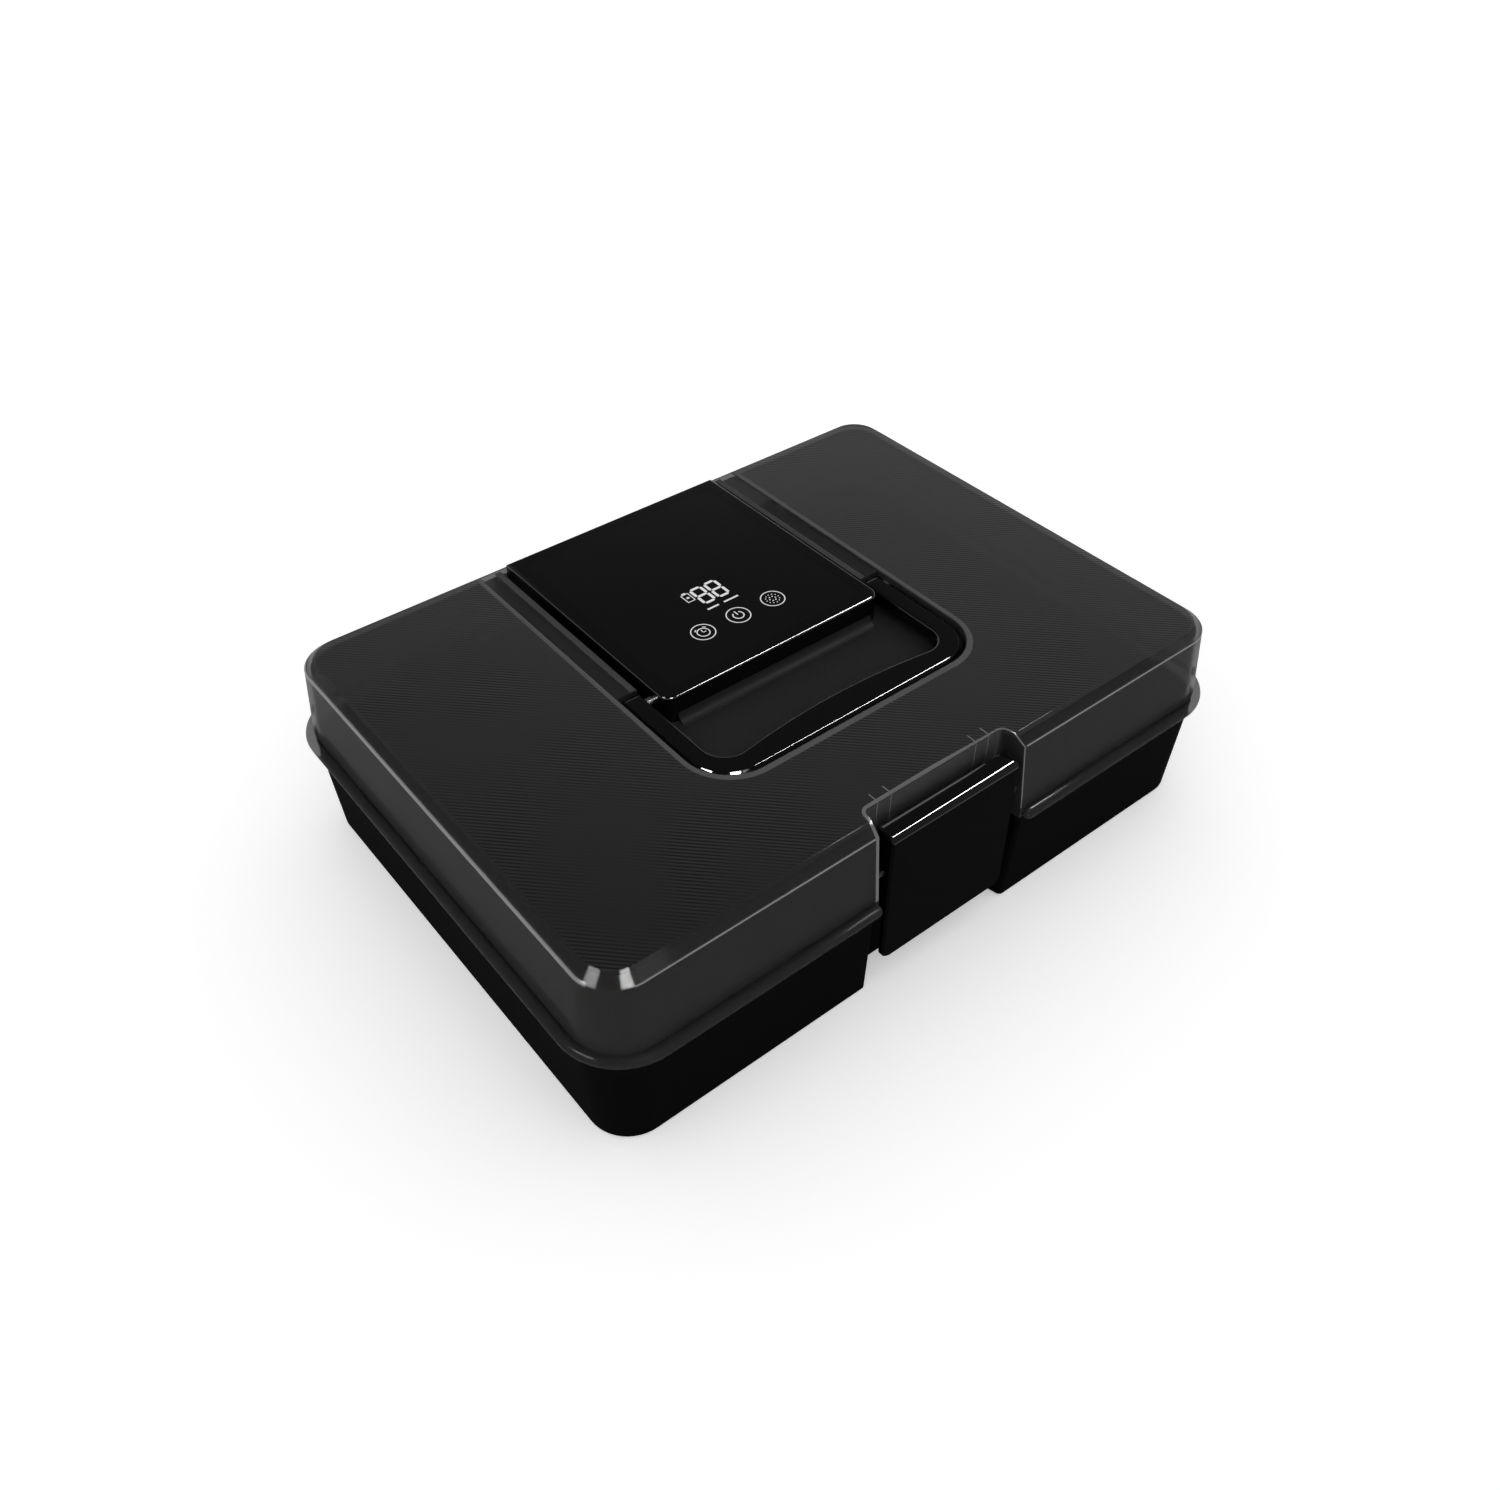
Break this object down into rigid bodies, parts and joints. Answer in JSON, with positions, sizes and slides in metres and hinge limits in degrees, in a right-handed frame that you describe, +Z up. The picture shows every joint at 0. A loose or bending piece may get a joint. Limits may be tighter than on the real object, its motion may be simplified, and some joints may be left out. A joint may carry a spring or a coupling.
{
  "type": "uv sterilizer box",
  "caption": "Flat rectangular box with a hinged smoked lid, a sunk folding handle, a touch control module on the lid and a long latch flap in the front.",
  "frame": {"origin": "centre of the underside, on the plane that the feet stand on", "axes": "+Z up, -Y to the front with the latch, +X to the right along the front"},
  "size_m": [0.314, 0.235, 0.0876],
  "materials": {
    "smoked_polycarbonate": "clear, smoked",
    "black_gloss": "polished",
    "black_satin": "satin",
    "tray_black": "satin",
    "panel_black": "polished",
    "rubber": "matte",
    "label": "matte",
    "steel": "plain",
    "zinc_screw": "plain",
    "board": "solder mask",
    "aluminium_board": "white solder mask",
    "foam": "foam",
    "display": "epoxy",
    "lit_white": "diffuse",
    "component": "moulded",
    "lamp": "clear",
    "window": "clear",
    "battery": "film",
    "wire": "insulation"
  },
  "bodies": {
    "base": {"base_shell": "black_satin", "base_tray": "tray_black", "tray_cups": "tray_black", "rubber_feet": "rubber", "rating_label": "label", "hinge_pins": "steel"},
    "lid": {"lid_shell": "smoked_polycarbonate", "module_housing": "black_gloss", "touch_panel": "panel_black", "panel_tape": "foam", "display_block": "display", "display_digits": "lit_white", "main_board": "board", "touch_pads": "foam", "controller_chip": "component", "board_parts": "component", "buzzer": "component", "tilt_switch": "component", "board_screws": "zinc_screw", "module_cover": "black_satin", "module_screws": "zinc_screw", "uv_board": "aluminium_board", "uv_leds": "lamp", "uv_window": "window", "uv_board_screws": "zinc_screw", "battery_pack": "battery", "ion_unit": "component", "ion_brush": "component", "charge_board": "board", "charge_board_screws": "zinc_screw", "usb_socket": "steel", "leads": "wire", "handle_pins": "steel", "latch_pin": "steel"},
    "handle": {"handle": "black_gloss"},
    "latch": {"latch": "black_gloss"}
  },
  "joints": [
    {"name": "lid_hinge", "type": "hinge", "parent": "base", "child": "lid", "pos_m": [0, 0.1164, 0.0475], "axis": [-1, 0, 0], "range_deg": [0, 100]},
    {"name": "handle_fold", "type": "hinge", "parent": "lid", "child": "handle", "pos_m": [0, -0.001, 0.0814], "axis": [-1, 0, 0], "range_deg": [0, 90]},
    {"name": "latch_swing", "type": "hinge", "parent": "lid", "child": "latch", "pos_m": [0, -0.1072, 0.06], "axis": [-1, 0, 0], "range_deg": [0, 14]}
  ]
}
